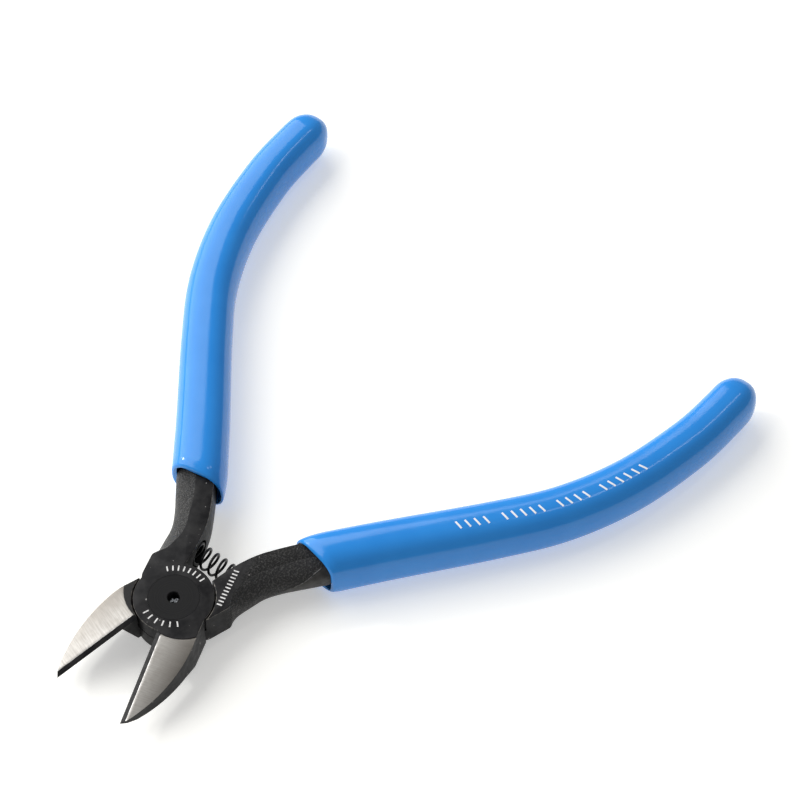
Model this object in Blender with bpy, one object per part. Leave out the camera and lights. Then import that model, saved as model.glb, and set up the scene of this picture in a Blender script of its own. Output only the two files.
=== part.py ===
"""Flush cut pliers: two forged levers on a flush rivet, a return coil spring and two dipped grip sleeves.

Frame: origin on the pivot axis at the flat underside of the joint, +X towards the jaw tips, +Z up along
the pivot. Each lever is drawn in its closed position, with its cutting edge on the XZ plane, and is then
turned about the pivot to the open position in which the spring holds it. Lengths are in millimetres
and are turned into metres where a mesh is made.
"""
import math

import bmesh
import bpy
from mathutils import Vector

MM = 0.001

# Joint
OPEN_HALF_DEG = 17.6          # each lever's turn from closed to open
HEAD_THICKNESS = 8.0
LAP_PLANE = 4.0               # height of the sliding faces between the two levers
LAP_GAP = 0.3                 # between the sliding faces
DISC_RADIUS = 8.4             # round half of the lap joint
DISC_CLEARANCE = 0.3          # between a disc and the other lever's round recess

# Rivet
RIVET_HEAD_RADIUS = 5.4
RIVET_HEAD_DEPTH = 1.4
RIVET_SHANK_RADIUS = 3.0
RIVET_TAIL_RADIUS = 4.2
RIVET_TAIL_DEPTH = 1.2
RIVET_GAP = 0.3
RIVET_HOLE_RADIUS = 1.25
RIVET_HOLE_DEPTH = 1.9
RIVET_HOLE_CONE = 0.7

# Jaws
BEVEL_WIDTH = 1.07            # narrow bevel along the cutting edge
BEVEL_DROP = 0.46
JAW_TIP_X = 28.1
JAW_SHOULDER = (9.3, 8.2)     # the outer side is an arc from here
JAW_TOE = (27.3, BEVEL_WIDTH)  # to here, where it meets the bevel
JAW_ARC_RADIUS = 31.6
JAW_ROOT = (3.3, 8.0)         # the flat shoulder behind the jaw ends here
EDGE_CLEARANCE = 0.03         # from a cutting edge to the closing plane
RAMP_TOP = 7.8                # the ground face starts just below the head's top
RAMP_START_X = 9.4
RAMP_SLOPE = 0.29
RAMP_TILT = 0.05              # the ground face also falls a little towards the outer side
RAMP_ARC_CENTRE = (0.6, 2.6)  # the head stands proud of the ground face along this arc
RAMP_ARC_RADIUS = 8.45
JAW_FLARE = 0.25              # the outer side leans out by this much at its lower edge
JAW_BELLY_Z = 1.1             # height of the chamfer under the outer side
JAW_BELLY_IN = 0.9
BELLY_TOE_FADE = 4.0          # the chamfer dies out over these lengths, at the toe and at the root
BELLY_ROOT_FADE = 8.0
TOE_LIFT_X = 22.0             # the underside rises from here to the tip
TOE_LIFT_SLOPE = 0.31
RELIEF_START_X = 12.3         # the hollow under the cutting edges starts here at the edge
RELIEF_FOOT_X = 9.0           # and here at the underside
RELIEF_FOOT_HALF = 2.5        # half the width of the hollow's end wall at the underside
RELIEF_FLANK_DEG = 40.0       # flank from the vertical

# Tangs (closed position, distances from the closing plane)
DISC_FRONT_ARC = (70.0, 187.0)  # the outline follows the disc between these angles
DISC_BACK_ARC = (256.0, 355.0)
NECK_Y = 8.45
NECK_FRONT_X = -3.0
NECK_BACK_X = -8.2
TANG_INNER = [(-12.0, 0.65), (-16.0, 0.55), (-20.0, 0.9), (-24.0, 1.9), (-28.5, 3.3)]
TANG_OUTER_TOP = [(-10.7, 6.4), (-13.2, 5.5), (-16.2, 5.5), (-20.2, 6.7), (-25.2, 8.4), (-29.0, 10.0)]
TANG_OUTER_MID = [(-10.7, 8.35), (-13.2, 8.3), (-17.0, 8.2), (-21.0, 9.2), (-25.6, 11.0), (-29.5, 12.5)]
INNER_DRAFT = 0.35
# Steel inside a sleeve: reach from the handle's middle line, at the mouth and at the end
CORE_START_X = -31.0
CORE_INNER_TOP = (3.5, 2.6)
CORE_INNER_MID = (3.85, 2.95)
CORE_OUTER_TOP = (2.7, 2.1)
CORE_OUTER_MID = (4.6, 3.4)
SLOPE_LEVELS = (1.6, 2.0)     # depths below the top and above the underside of the mid-slope outlines

# Handles: the middle of the sleeve, from the mouth to the end
HANDLE_PATH = [(-24.0, 5.3), (-43.4, 12.4), (-64.9, 20.7), (-80.0, 25.6), (-95.8, 27.5),
               (-112.1, 26.3), (-123.0, 23.9), (-132.6, 20.9)]
MOUTH_X = -29.5               # the sleeve's mouth, on its middle line
MOUTH_SLANT_DEG = 27.0
MOUTH_SLANT_LENGTH = 16.0     # the sleeve's sections turn square to the handle over this length
MOUTH_TAPER = 0.75            # the wall thins by this much towards the mouth, but not on its outer side
MOUTH_STEPS = (0.0, 0.5, 1.3, 2.5, 4.0)  # rings on the taper, as distances from the mouth
MOUTH_TAPER_LENGTH = 6.0
CORE_END_SHORT = 8.5          # the core stops this far before the sleeve's end
SLEEVE_WIDTH = (12.0, 9.9)
SLEEVE_HEIGHT = (12.5, 11.0)
SLEEVE_SQUARENESS = 2.5       # exponent of the sleeve's rounded-rectangle section
CAVITY_SQUARENESS = 5.0       # the same for the cavity that the steel fills
SLEEVE_GAP = 0.3              # between the sleeve and the steel inside it
SLEEVE_END_CAP = 6.5          # length over which the end is rounded off
END_CAP_DEG = (20.0, 40.0, 60.0, 75.0)  # where on the rounding its rings lie
SLEEVE_MID_Z = 4.0

# Spring
SPRING_X = -13.0
SPRING_Z = 4.0
SPRING_RADIUS = 2.25          # to the middle of the wire
SPRING_WIRE = 0.6
SPRING_TURNS = 6.25
SPRING_PHASE_DEG = 30.0       # where the wire starts, about the coil's middle line
POCKET_RADIUS = 2.75
POCKET_REACH = 7.2            # from the middle plane to the pocket's floor
POCKET_FLOOR_GAP = 0.3

# Mesh fineness
ARC_SEGMENTS = 64
FINE_ARC_SEGMENTS = 96
POCKET_SEGMENTS = 40
JAW_ARC_STEPS = 12
DISC_ARC_STEPS = (13, 11)
TANG_STEPS = 3
HANDLE_STEPS = 8
SLEEVE_POINTS = 28
SLEEVE_STATIONS = 22
SPRING_STEPS_PER_TURN = 16
SPRING_SIDES = 6
EDGE_SPLIT_DEG = 30.0         # faces that meet at more than this keep a sharp edge
SLEEVE_SPLIT_DEG = 40.0
SPRING_SPLIT_DEG = 60.0

# Cutters reach past the steel by this much
PAST = 1.0


def clear_scene():
    for obj in list(bpy.data.objects):
        bpy.data.objects.remove(obj, do_unlink=True)


def material(name, color, roughness, metallic):
    mat = bpy.data.materials.new(name)
    mat.use_nodes = True
    shader = mat.node_tree.nodes["Principled BSDF"]
    shader.inputs["Base Color"].default_value = (*color, 1.0)
    shader.inputs["Roughness"].default_value = roughness
    shader.inputs["Metallic"].default_value = metallic
    return mat


def add_object(name, bm, parent=None, mat=None, smooth_deg=None):
    """Turn a bmesh in millimetres into an object in metres."""
    bmesh.ops.scale(bm, vec=(MM, MM, MM), verts=bm.verts)
    bmesh.ops.recalc_face_normals(bm, faces=bm.faces)
    mesh = bpy.data.meshes.new(name)
    bm.to_mesh(mesh)
    bm.free()
    obj = bpy.data.objects.new(name, mesh)
    bpy.context.scene.collection.objects.link(obj)
    obj.parent = parent
    if mat:
        mesh.materials.append(mat)
    if smooth_deg:
        mesh.shade_smooth()
        mesh.set_sharp_from_angle(angle=math.radians(smooth_deg))
    return obj


def add_pivot_frame(name, turn_deg):
    """An empty on the pivot axis that turns a lever and all that rides on it."""
    frame = bpy.data.objects.new(name, None)
    bpy.context.scene.collection.objects.link(frame)
    frame.rotation_euler = (0.0, 0.0, math.radians(turn_deg))
    return frame


def loft(rings):
    """A closed solid through rings with equal numbers of points, with flat ends."""
    bm = bmesh.new()
    loops = [[bm.verts.new(point) for point in ring] for ring in rings]
    count = len(loops[0])
    for lower, upper in zip(loops, loops[1:]):
        for i in range(count):
            j = (i + 1) % count
            bm.faces.new((lower[i], lower[j], upper[j], upper[i]))
    bm.faces.new(list(reversed(loops[0])))
    bm.faces.new(loops[-1])
    return bm


def revolve(profile, segments=ARC_SEGMENTS):
    """A solid turned about Z; the profile's first and last points lie on the axis."""
    bm = bmesh.new()
    bottom = bm.verts.new((0.0, 0.0, profile[0][1]))
    top = bm.verts.new((0.0, 0.0, profile[-1][1]))
    rings = []
    for radius, z in profile[1:-1]:
        ring = []
        for k in range(segments):
            angle = math.tau * k / segments
            ring.append(bm.verts.new((radius * math.cos(angle), radius * math.sin(angle), z)))
        rings.append(ring)
    for k in range(segments):
        j = (k + 1) % segments
        bm.faces.new((bottom, rings[0][j], rings[0][k]))
        for lower, upper in zip(rings, rings[1:]):
            bm.faces.new((lower[k], lower[j], upper[j], upper[k]))
        bm.faces.new((top, rings[-1][k], rings[-1][j]))
    return bm


def cylinder(radius, z_low, z_high, centre=(0.0, 0.0), segments=ARC_SEGMENTS):
    bm = revolve([(0.0, z_low), (radius, z_low), (radius, z_high), (0.0, z_high)], segments)
    bmesh.ops.translate(bm, vec=(centre[0], centre[1], 0.0), verts=bm.verts)
    return bm


def hull(points):
    bm = bmesh.new()
    for point in points:
        bm.verts.new(point)
    bmesh.ops.convex_hull(bm, input=bm.verts)
    return bm


def cut(target, name, bm, parent):
    """Remove a cutter's shape from the target, and keep the cutter hidden."""
    cutter = add_object(name, bm, parent)
    cutter.hide_render = True
    cutter.display_type = "WIRE"
    modifier = target.modifiers.new(name, "BOOLEAN")
    modifier.operation = "DIFFERENCE"
    modifier.object = cutter
    modifier.solver = "EXACT"
    return cutter


def catmull_rom(points, per_span):
    """A smooth curve through the points, as a list of points."""
    ends = [2 * Vector(points[0]) - Vector(points[1])]
    ends += [Vector(point) for point in points]
    ends.append(2 * Vector(points[-1]) - Vector(points[-2]))
    curve = []
    for a, b, c, d in zip(ends, ends[1:], ends[2:], ends[3:]):
        for step in range(per_span):
            t = step / per_span
            curve.append(0.5 * (2 * b + (c - a) * t + (2 * a - 5 * b + 4 * c - d) * t * t
                                + (3 * b - 3 * c + d - a) * t ** 3))
    curve.append(ends[-2])
    return curve


def arc_points(centre, radius, start_deg, end_deg, count):
    points = []
    for k in range(count + 1):
        angle = math.radians(start_deg + (end_deg - start_deg) * k / count)
        points.append((centre[0] + radius * math.cos(angle), centre[1] + radius * math.sin(angle)))
    return points


def jaw_outer_side():
    """The arc of the jaw's outer side, from the toe back to the shoulder."""
    toe = Vector(JAW_TOE)
    shoulder = Vector(JAW_SHOULDER)
    middle = (toe + shoulder) / 2
    chord = shoulder - toe
    reach = math.sqrt(JAW_ARC_RADIUS ** 2 - (chord.length / 2) ** 2)
    centre = middle + Vector((-chord.y, chord.x)).normalized() * reach
    start = math.degrees(math.atan2(toe.y - centre.y, toe.x - centre.x))
    end = math.degrees(math.atan2(shoulder.y - centre.y, shoulder.x - centre.x))
    return arc_points(centre, JAW_ARC_RADIUS, start, end, JAW_ARC_STEPS)


def jaw_lean(x, z):
    """How far the jaw's outer side stands out past its top edge."""
    lean = JAW_FLARE * (HEAD_THICKNESS - z) / HEAD_THICKNESS
    if z <= 0.0:
        from_toe = min(1.0, (JAW_TOE[0] - x) / BELLY_TOE_FADE)
        from_root = min(1.0, max(0.0, x - JAW_SHOULDER[0]) / BELLY_ROOT_FADE)
        lean -= (JAW_FLARE + JAW_BELLY_IN) * from_toe * from_root
    return lean


def path_frames():
    """Points along the handle's middle line with distance run, and the sideways direction at each."""
    path = catmull_rom(HANDLE_PATH, HANDLE_STEPS)
    frames = []
    run = 0.0
    for i, point in enumerate(path):
        before = path[max(i - 1, 0)]
        after = path[min(i + 1, len(path) - 1)]
        along = (after - before).normalized()
        if i:
            run += (point - path[i - 1]).length
        frames.append((point, along, Vector((-along.y, along.x)), run))
    return frames


def core_side(side, reach):
    """One side of the steel inside the sleeve. side is +1 away from the other handle, -1 towards it."""
    frames = path_frames()
    length = frames[-1][3] - CORE_END_SHORT
    points = []
    for point, along, across, run in frames[::2]:
        if point.x <= CORE_START_X and run <= length:
            outward = -across if across.y < 0 else across
            points.append(point + outward * side * (reach[0] + (reach[1] - reach[0]) * run / length))
    return points


def tang_inner_side(bulge):
    """The handle's side towards the other handle; bulge is 0 at the flat faces and 1 half way up."""
    tang = [Vector((x, y - INNER_DRAFT * bulge)) for x, y in catmull_rom(TANG_INNER, TANG_STEPS)]
    core = zip(core_side(-1, CORE_INNER_TOP), core_side(-1, CORE_INNER_MID))
    return tang + [top.lerp(mid, bulge) for top, mid in core]


def tang_outer_side(bulge):
    """The handle's side away from the other handle."""
    top_line = catmull_rom(TANG_OUTER_TOP, TANG_STEPS) + core_side(1, CORE_OUTER_TOP)
    mid_line = catmull_rom(TANG_OUTER_MID, TANG_STEPS) + core_side(1, CORE_OUTER_MID)
    return [top.lerp(mid, bulge) for top, mid in zip(top_line, mid_line)]


def lever_outline(z):
    """The outline at one height, for the lever whose jaw is on the +Y side when closed."""
    depth = min(z, HEAD_THICKNESS - z)
    bulge = math.sqrt(max(0.0, 1.0 - ((LAP_PLANE - depth) / LAP_PLANE) ** 2))
    outline = [(x, y + jaw_lean(x, z)) for x, y in jaw_outer_side()]
    outline.append((JAW_ROOT[0], JAW_ROOT[1] + jaw_lean(JAW_ROOT[0], z)))
    outline += arc_points((0.0, 0.0), DISC_RADIUS, *DISC_FRONT_ARC, DISC_ARC_STEPS[0])
    outline += [(point.x, -point.y) for point in tang_inner_side(bulge)]
    outline += [(point.x, -point.y) for point in reversed(tang_outer_side(bulge))]
    outline += [(NECK_BACK_X, -NECK_Y), (NECK_FRONT_X, -NECK_Y)]
    outline += arc_points((0.0, 0.0), DISC_RADIUS, *DISC_BACK_ARC, DISC_ARC_STEPS[1])
    outline += [(DISC_RADIUS, EDGE_CLEARANCE), (JAW_TIP_X, EDGE_CLEARANCE)]
    return [(x, y, z) for x, y in outline]


def lever_body():
    levels = (0.0, JAW_BELLY_Z, SLOPE_LEVELS[1], LAP_PLANE, HEAD_THICKNESS - SLOPE_LEVELS[0], HEAD_THICKNESS)
    return loft([lever_outline(z) for z in levels])


def mirrored(bm, side):
    """Mirror a closed-position shape to the other lever."""
    if side < 0:
        bmesh.ops.scale(bm, vec=(1.0, -1.0, 1.0), verts=bm.verts)
        bmesh.ops.reverse_faces(bm, faces=bm.faces)
    return bm


def ramp_z(x, y=BEVEL_WIDTH):
    """Height of a jaw's ground face."""
    return RAMP_TOP - RAMP_SLOPE * (x - RAMP_START_X) - RAMP_TILT * (y - BEVEL_WIDTH)


def edge_z(x):
    return ramp_z(x) - BEVEL_DROP


def ramp_cutter():
    """Everything above the ground face of a jaw, which is level at its root and then falls to the tip."""
    root_x = JAW_ROOT[0]
    tip_x = JAW_TIP_X + PAST
    roof_z = HEAD_THICKNESS + PAST
    rings = []
    for y in (-PAST, JAW_SHOULDER[1] + PAST):
        bend_x = RAMP_START_X - RAMP_TILT * (y - BEVEL_WIDTH) / RAMP_SLOPE
        profile = [(root_x, RAMP_TOP), (bend_x, RAMP_TOP), (tip_x, ramp_z(tip_x, y)), (tip_x, roof_z),
                   (root_x, roof_z)]
        rings.append([(x, y, z) for x, z in profile])
    return loft(rings)


def bevel_cutter():
    """Everything above the narrow bevel beside the cutting edge."""
    drop = BEVEL_DROP * (BEVEL_WIDTH + PAST) / BEVEL_WIDTH
    roof_z = HEAD_THICKNESS + PAST
    points = []
    for x in (DISC_RADIUS - PAST, JAW_TIP_X + PAST):
        points += [(x, BEVEL_WIDTH, ramp_z(x)), (x, -PAST, ramp_z(x) - drop)]
        points += [(x, BEVEL_WIDTH, roof_z), (x, -PAST, roof_z)]
    return hull(points)


def relief_cutter():
    """The V-shaped hollow under the closed cutting edges, with a slanted end wall at its root."""
    flank = math.tan(math.radians(RELIEF_FLANK_DEG))
    foot_x = RELIEF_FOOT_X - PAST * (RELIEF_START_X - RELIEF_FOOT_X) / edge_z(RELIEF_START_X)
    tip_x = JAW_TIP_X + PAST
    points = [(RELIEF_START_X, 0.0, edge_z(RELIEF_START_X)), (tip_x, 0.0, edge_z(tip_x))]
    for side in (-1.0, 1.0):
        points.append((foot_x, side * RELIEF_FOOT_HALF, -PAST))
        points.append((RELIEF_START_X, side * (edge_z(RELIEF_START_X) + PAST) * flank, -PAST))
        points.append((tip_x, side * (edge_z(tip_x) + PAST) * flank, -PAST))
    return hull(points)


def toe_cutter():
    """A wedge under the jaw's toe."""
    tip_x = JAW_TIP_X + PAST
    rings = []
    for y in (-PAST, JAW_SHOULDER[1] + PAST):
        rings.append([(TOE_LIFT_X, y, 0.0), (tip_x, y, (tip_x - TOE_LIFT_X) * TOE_LIFT_SLOPE),
                      (tip_x, y, -PAST), (TOE_LIFT_X, y, -PAST)])
    return loft(rings)


def make_lever(name, side, mat):
    """side is +1 for the lever whose jaw is on +Y and whose disc is the upper one, -1 for the other."""
    frame = add_pivot_frame(name + "_pivot", side * OPEN_HALF_DEG)
    lever = add_object(name, mirrored(lever_body(), side), frame, mat, EDGE_SPLIT_DEG)

    recess = DISC_RADIUS + DISC_CLEARANCE
    if side > 0:
        lap = cylinder(recess, -PAST, LAP_PLANE + LAP_GAP / 2)
    else:
        lap = cylinder(recess, LAP_PLANE - LAP_GAP / 2, HEAD_THICKNESS + PAST)
    cut(lever, name + "_lap_cutter", lap, frame)

    for part_name, shape in (("ramp", ramp_cutter()), ("bevel", bevel_cutter())):
        cutter = cut(lever, f"{name}_{part_name}_cutter", mirrored(shape, side), frame)
        arc = cylinder(RAMP_ARC_RADIUS, -2 * PAST, HEAD_THICKNESS + 2 * PAST,
                       (RAMP_ARC_CENTRE[0], side * RAMP_ARC_CENTRE[1]), FINE_ARC_SEGMENTS)
        cut(cutter, f"{name}_{part_name}_arc", arc, frame)
    cut(lever, name + "_relief_cutter", relief_cutter(), frame)
    cut(lever, name + "_toe_cutter", mirrored(toe_cutter(), side), frame)

    bore = cylinder(RIVET_SHANK_RADIUS + RIVET_GAP, -PAST, HEAD_THICKNESS + PAST)
    cut(lever, name + "_shank_cutter", bore, frame)
    if side > 0:
        seat_z = HEAD_THICKNESS - RIVET_HEAD_DEPTH - RIVET_GAP
        seat = cylinder(RIVET_HEAD_RADIUS + RIVET_GAP, seat_z, HEAD_THICKNESS + PAST)
    else:
        seat = cylinder(RIVET_TAIL_RADIUS + RIVET_GAP, -PAST, RIVET_TAIL_DEPTH + RIVET_GAP)
    cut(lever, name + "_seat_cutter", seat, frame)

    pocket = cylinder(POCKET_RADIUS, 0.0, POCKET_REACH, segments=POCKET_SEGMENTS)
    pocket_cutter = cut(lever, name + "_pocket_cutter", pocket, None)
    pocket_cutter.location = (SPRING_X * MM, 0.0, SPRING_Z * MM)
    pocket_cutter.rotation_euler = (side * math.pi / 2, 0.0, 0.0)
    return frame


def make_rivet(mat):
    top = HEAD_THICKNESS
    under_head = top - RIVET_HEAD_DEPTH
    profile = [
        (0.0, 0.0), (RIVET_TAIL_RADIUS, 0.0), (RIVET_TAIL_RADIUS, RIVET_TAIL_DEPTH),
        (RIVET_SHANK_RADIUS, RIVET_TAIL_DEPTH), (RIVET_SHANK_RADIUS, under_head),
        (RIVET_HEAD_RADIUS, under_head), (RIVET_HEAD_RADIUS, top),
        (RIVET_HOLE_RADIUS, top), (RIVET_HOLE_RADIUS, top - RIVET_HOLE_DEPTH),
        (0.0, top - RIVET_HOLE_DEPTH - RIVET_HOLE_CONE),
    ]
    add_object("pivot_rivet", revolve(profile), None, mat, EDGE_SPLIT_DEG)


def section_ring(frame, size, squareness, shear):
    """One rounded-rectangle ring of a sleeve; shear slants it along the handle."""
    centre, along, across = frame
    half_width, half_height, shift = size
    ring = []
    power = 2.0 / squareness
    for k in range(SLEEVE_POINTS):
        angle = math.tau * k / SLEEVE_POINTS
        c, s = math.cos(angle), math.sin(angle)
        u = half_width * math.copysign(abs(c) ** power, c)
        w = half_height * math.copysign(abs(s) ** power, s)
        spot = centre + across * (u - shift) + along * u * shear
        ring.append((spot.x, spot.y, SLEEVE_MID_Z + w))
    return ring


def sample_path(frames, run):
    """The point, direction and sideways direction at a distance along the handle's middle line."""
    for a, b in zip(frames, frames[1:]):
        if run <= b[3]:
            t = (run - a[3]) / (b[3] - a[3])
            return a[0].lerp(b[0], t), a[1].lerp(b[1], t).normalized(), a[2].lerp(b[2], t).normalized()
    return frames[-1][:3]


def mouth_run(frames):
    """The distance along the handle's middle line at which the sleeve starts."""
    for a, b in zip(frames, frames[1:]):
        if b[0].x <= MOUTH_X:
            t = (a[0].x - MOUTH_X) / (a[0].x - b[0].x)
            return a[3] + (b[3] - a[3]) * t


def even_steps(start, end, count):
    return [start + (end - start) * k / (count - 1) for k in range(count)]


def make_sleeve(name, side, parent, mat):
    """A sleeve closed at its end: one skin outside and one inside, joined at the slanted mouth.

    A size is half the width, half the height and a shift away from the other handle.
    """
    frames = path_frames()
    start = mouth_run(frames)
    total = frames[-1][3]
    cap_start = total - SLEEVE_END_CAP
    slant = math.tan(math.radians(MOUTH_SLANT_DEG))

    def outer_size(run):
        t = (run - start) / (total - start)
        width = SLEEVE_WIDTH[0] + (SLEEVE_WIDTH[1] - SLEEVE_WIDTH[0]) * t
        height = SLEEVE_HEIGHT[0] + (SLEEVE_HEIGHT[1] - SLEEVE_HEIGHT[0]) * t
        taper = MOUTH_TAPER * max(0.0, 1.0 - (run - start) / MOUTH_TAPER_LENGTH) ** 2
        into_cap = max(0.0, (run - cap_start) / SLEEVE_END_CAP)
        cap = math.sqrt(1.0 - into_cap ** 2)
        return (width - taper) / 2 * cap, (height / 2 - taper) * cap, taper / 2

    def inner_size(run):
        t = run / (total - CORE_END_SHORT)
        reach = CORE_OUTER_MID[0] + (CORE_OUTER_MID[1] - CORE_OUTER_MID[0]) * t
        return reach + SLEEVE_GAP, HEAD_THICKNESS / 2 + SLEEVE_GAP, 0.0

    def rings(runs, size, squareness):
        made = []
        for run in runs:
            fade = max(0.0, 1.0 - (run - start) / MOUTH_SLANT_LENGTH)
            made.append(section_ring(sample_path(frames, run), size(run), squareness, -slant * fade))
        return made

    outer_runs = [start + step for step in MOUTH_STEPS]
    outer_runs += even_steps(start + MOUTH_TAPER_LENGTH, cap_start, SLEEVE_STATIONS)
    outer_runs += [cap_start + SLEEVE_END_CAP * math.sin(math.radians(angle)) for angle in END_CAP_DEG]
    inner_runs = even_steps(start, total - CORE_END_SHORT + SLEEVE_GAP, SLEEVE_STATIONS)
    skin = list(reversed(rings(inner_runs, inner_size, CAVITY_SQUARENESS)))
    skin += rings(outer_runs, outer_size, SLEEVE_SQUARENESS)
    # a lever's handle is on the other side from its jaw
    add_object(name, mirrored(loft(skin), -side), parent, mat, SLEEVE_SPLIT_DEG)


def make_spring(mat):
    """A compression coil between the floors of the two pockets."""
    length = 2 * (POCKET_REACH - POCKET_FLOOR_GAP) - SPRING_WIRE
    steps = round(SPRING_TURNS * SPRING_STEPS_PER_TURN)
    along = Vector((0.0, 1.0, 0.0))
    rings = []
    for k in range(steps + 1):
        angle = math.radians(SPRING_PHASE_DEG) - math.tau * k / SPRING_STEPS_PER_TURN
        radial = Vector((math.cos(angle), 0.0, math.sin(angle)))
        start = Vector((SPRING_X, -length / 2, SPRING_Z))
        centre = start + along * (length * k / steps) + radial * SPRING_RADIUS
        ring = []
        for j in range(SPRING_SIDES):
            turn = math.tau * j / SPRING_SIDES
            spot = centre + (radial * math.cos(turn) + along * math.sin(turn)) * SPRING_WIRE / 2
            ring.append(tuple(spot))
        rings.append(ring)
    add_object("return_spring", loft(rings), None, mat, SPRING_SPLIT_DEG)


def main():
    clear_scene()
    oxide = material("black_oxide_steel", (0.035, 0.035, 0.038), 0.42, 0.85)
    oxide_upper = material("black_oxide_steel_upper", (0.04, 0.04, 0.043), 0.42, 0.85)
    rivet_steel = material("rivet_steel", (0.05, 0.05, 0.052), 0.35, 0.9)
    spring_steel = material("spring_steel", (0.03, 0.03, 0.032), 0.35, 0.9)
    vinyl = material("blue_vinyl", (0.03, 0.22, 0.72), 0.28, 0.0)
    vinyl_upper = material("blue_vinyl_upper", (0.03, 0.22, 0.72), 0.28, 0.0)

    lower_frame = make_lever("lower_lever", -1, oxide)
    upper_frame = make_lever("upper_lever", 1, oxide_upper)
    make_rivet(rivet_steel)
    make_spring(spring_steel)
    make_sleeve("lower_grip_sleeve", -1, lower_frame, vinyl)
    make_sleeve("upper_grip_sleeve", 1, upper_frame, vinyl_upper)


main()
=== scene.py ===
"""The looks of a pair of flush cut pliers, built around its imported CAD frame.

Lengths are in millimetres and are turned into metres when a piece is finished. Each lever is modelled
closed, with its cutting edge on the XZ plane, and is then turned about the pivot to its open rest position.
"""
import math

import bmesh
import bpy
from mathutils import Matrix, Vector


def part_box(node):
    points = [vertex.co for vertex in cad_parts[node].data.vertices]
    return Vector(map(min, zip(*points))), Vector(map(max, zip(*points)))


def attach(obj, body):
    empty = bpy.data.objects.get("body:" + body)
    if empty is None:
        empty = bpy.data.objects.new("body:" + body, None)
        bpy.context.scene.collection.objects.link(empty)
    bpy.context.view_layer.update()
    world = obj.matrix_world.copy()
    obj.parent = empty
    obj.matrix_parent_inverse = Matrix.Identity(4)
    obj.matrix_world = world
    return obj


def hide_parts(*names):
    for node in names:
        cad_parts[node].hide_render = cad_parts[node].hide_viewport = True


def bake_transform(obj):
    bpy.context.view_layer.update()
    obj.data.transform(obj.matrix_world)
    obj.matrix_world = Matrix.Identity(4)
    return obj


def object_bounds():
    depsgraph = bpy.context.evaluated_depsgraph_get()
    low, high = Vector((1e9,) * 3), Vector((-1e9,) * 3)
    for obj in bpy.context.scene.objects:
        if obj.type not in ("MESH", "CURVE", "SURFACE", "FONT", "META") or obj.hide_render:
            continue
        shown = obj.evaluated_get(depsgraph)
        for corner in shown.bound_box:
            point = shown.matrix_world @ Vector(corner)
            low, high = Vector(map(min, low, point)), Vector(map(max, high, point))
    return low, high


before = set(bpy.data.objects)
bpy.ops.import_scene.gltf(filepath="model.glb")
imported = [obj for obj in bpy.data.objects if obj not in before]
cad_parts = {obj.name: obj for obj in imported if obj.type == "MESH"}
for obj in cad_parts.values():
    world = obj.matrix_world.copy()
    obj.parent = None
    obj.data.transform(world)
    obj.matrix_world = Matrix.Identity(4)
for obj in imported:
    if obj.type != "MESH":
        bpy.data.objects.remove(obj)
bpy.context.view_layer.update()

MM = 0.001

# Camera
CAMERA_AZIMUTH = 128.7
CAMERA_ELEVATION = 54.5
CAMERA_DISTANCE = 657.9
CAMERA_AIM = (-73.93, 0.28, -3.0)
CAMERA_LENS = 135.0

# Light
WORLD_LIGHT = 0.3
FLOOR_GLOW = 0.38             # a lit table, which keeps the shadows pale
FLOOR_HALF = 3.0              # metres
# name, azimuth, elevation, distance and size in metres, watts
SOFTBOXES = (("key", 5.0, 38.0, 1.3, (2.2, 1.5), 26.5),
             ("streak", 257.0, 62.0, 1.2, (0.06, 0.6), 0.6),
             ("glint", 15.0, 30.0, 1.0, (0.12, 0.12), 2.5))

# Joint
OPEN_HALF_DEG = 17.6
HEAD = (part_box("pivot_rivet")[1].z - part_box("pivot_rivet")[0].z) / MM
MID_Z = HEAD / 2
LAP_GAP = 0.3
DISC_RADIUS = 8.4
DISC_FRONT_ARC = (70.0, 187.0, 40)  # start and end in degrees, steps
DISC_BACK_ARC = (256.0, 355.0, 34)
RECESS_RADIUS = 8.7
EDGE_ROUND = 0.16             # rounding of the flat faces' edges

# Rivet
RIVET_RADIUS = 5.4
RIVET_DEPTH = 1.4
RIVET_SEAM = 0.03
RIVET_ROUND = 0.05
SHANK_RADIUS = 3.0
TAIL_RADIUS = 4.2
TAIL_DEPTH = 1.2
BORE_GAP = 0.15
HOLE_RADIUS = 1.25
HOLE_ROUND = 0.15
HOLE_DEPTH = 2.3
HOLE_CONE = 0.7

# Jaws
STRIP_WIDTH = 1.07            # the black strip along the cutting edge
STRIP_DROP = 0.46
STRIP_LINE = 0.06             # half the width of the bright line beside it
JAW_TIP_X = 28.1
JAW_SHOULDER = (9.3, 8.2)
JAW_TOE = (27.3, STRIP_WIDTH)
JAW_ARC_RADIUS = 31.6
JAW_ARC_STEPS = 40
JAW_ROOT = (3.3, 8.0)
EDGE_CLEARANCE = 0.03
RAMP_TOP = 7.8
RAMP_START_X = 9.4
RAMP_SLOPE = 0.29
RAMP_CROWN = 0.0083           # the ground face falls away from the strip with the square of the distance
RAMP_ARC_CENTRE = (0.6, 2.6)
RAMP_ARC_RADIUS = 8.45
RAMP_ARC_SEGMENTS = 256
RAMP_SECTIONS = 17
JAW_FLARE = 0.25
JAW_BELLY_Z = 1.1
JAW_BELLY_IN = 0.9
BELLY_TOE_FADE = 4.0
BELLY_ROOT_FADE = 8.0
TOE_LIFT_X = 22.0
TOE_LIFT_SLOPE = 0.31
RELIEF_START_X = 12.3
RELIEF_FOOT_X = 9.0
RELIEF_FOOT_HALF = 2.5
RELIEF_FLANK_DEG = 40.0

# Depths below a lever's flat faces at which its outline is drawn
OUTLINE_DEPTHS = (0.0, 0.03, 0.08, EDGE_ROUND, 0.35, 0.6, 0.9, JAW_BELLY_Z, 1.5, 1.9, 2.4, 2.9, 3.4)

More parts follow.
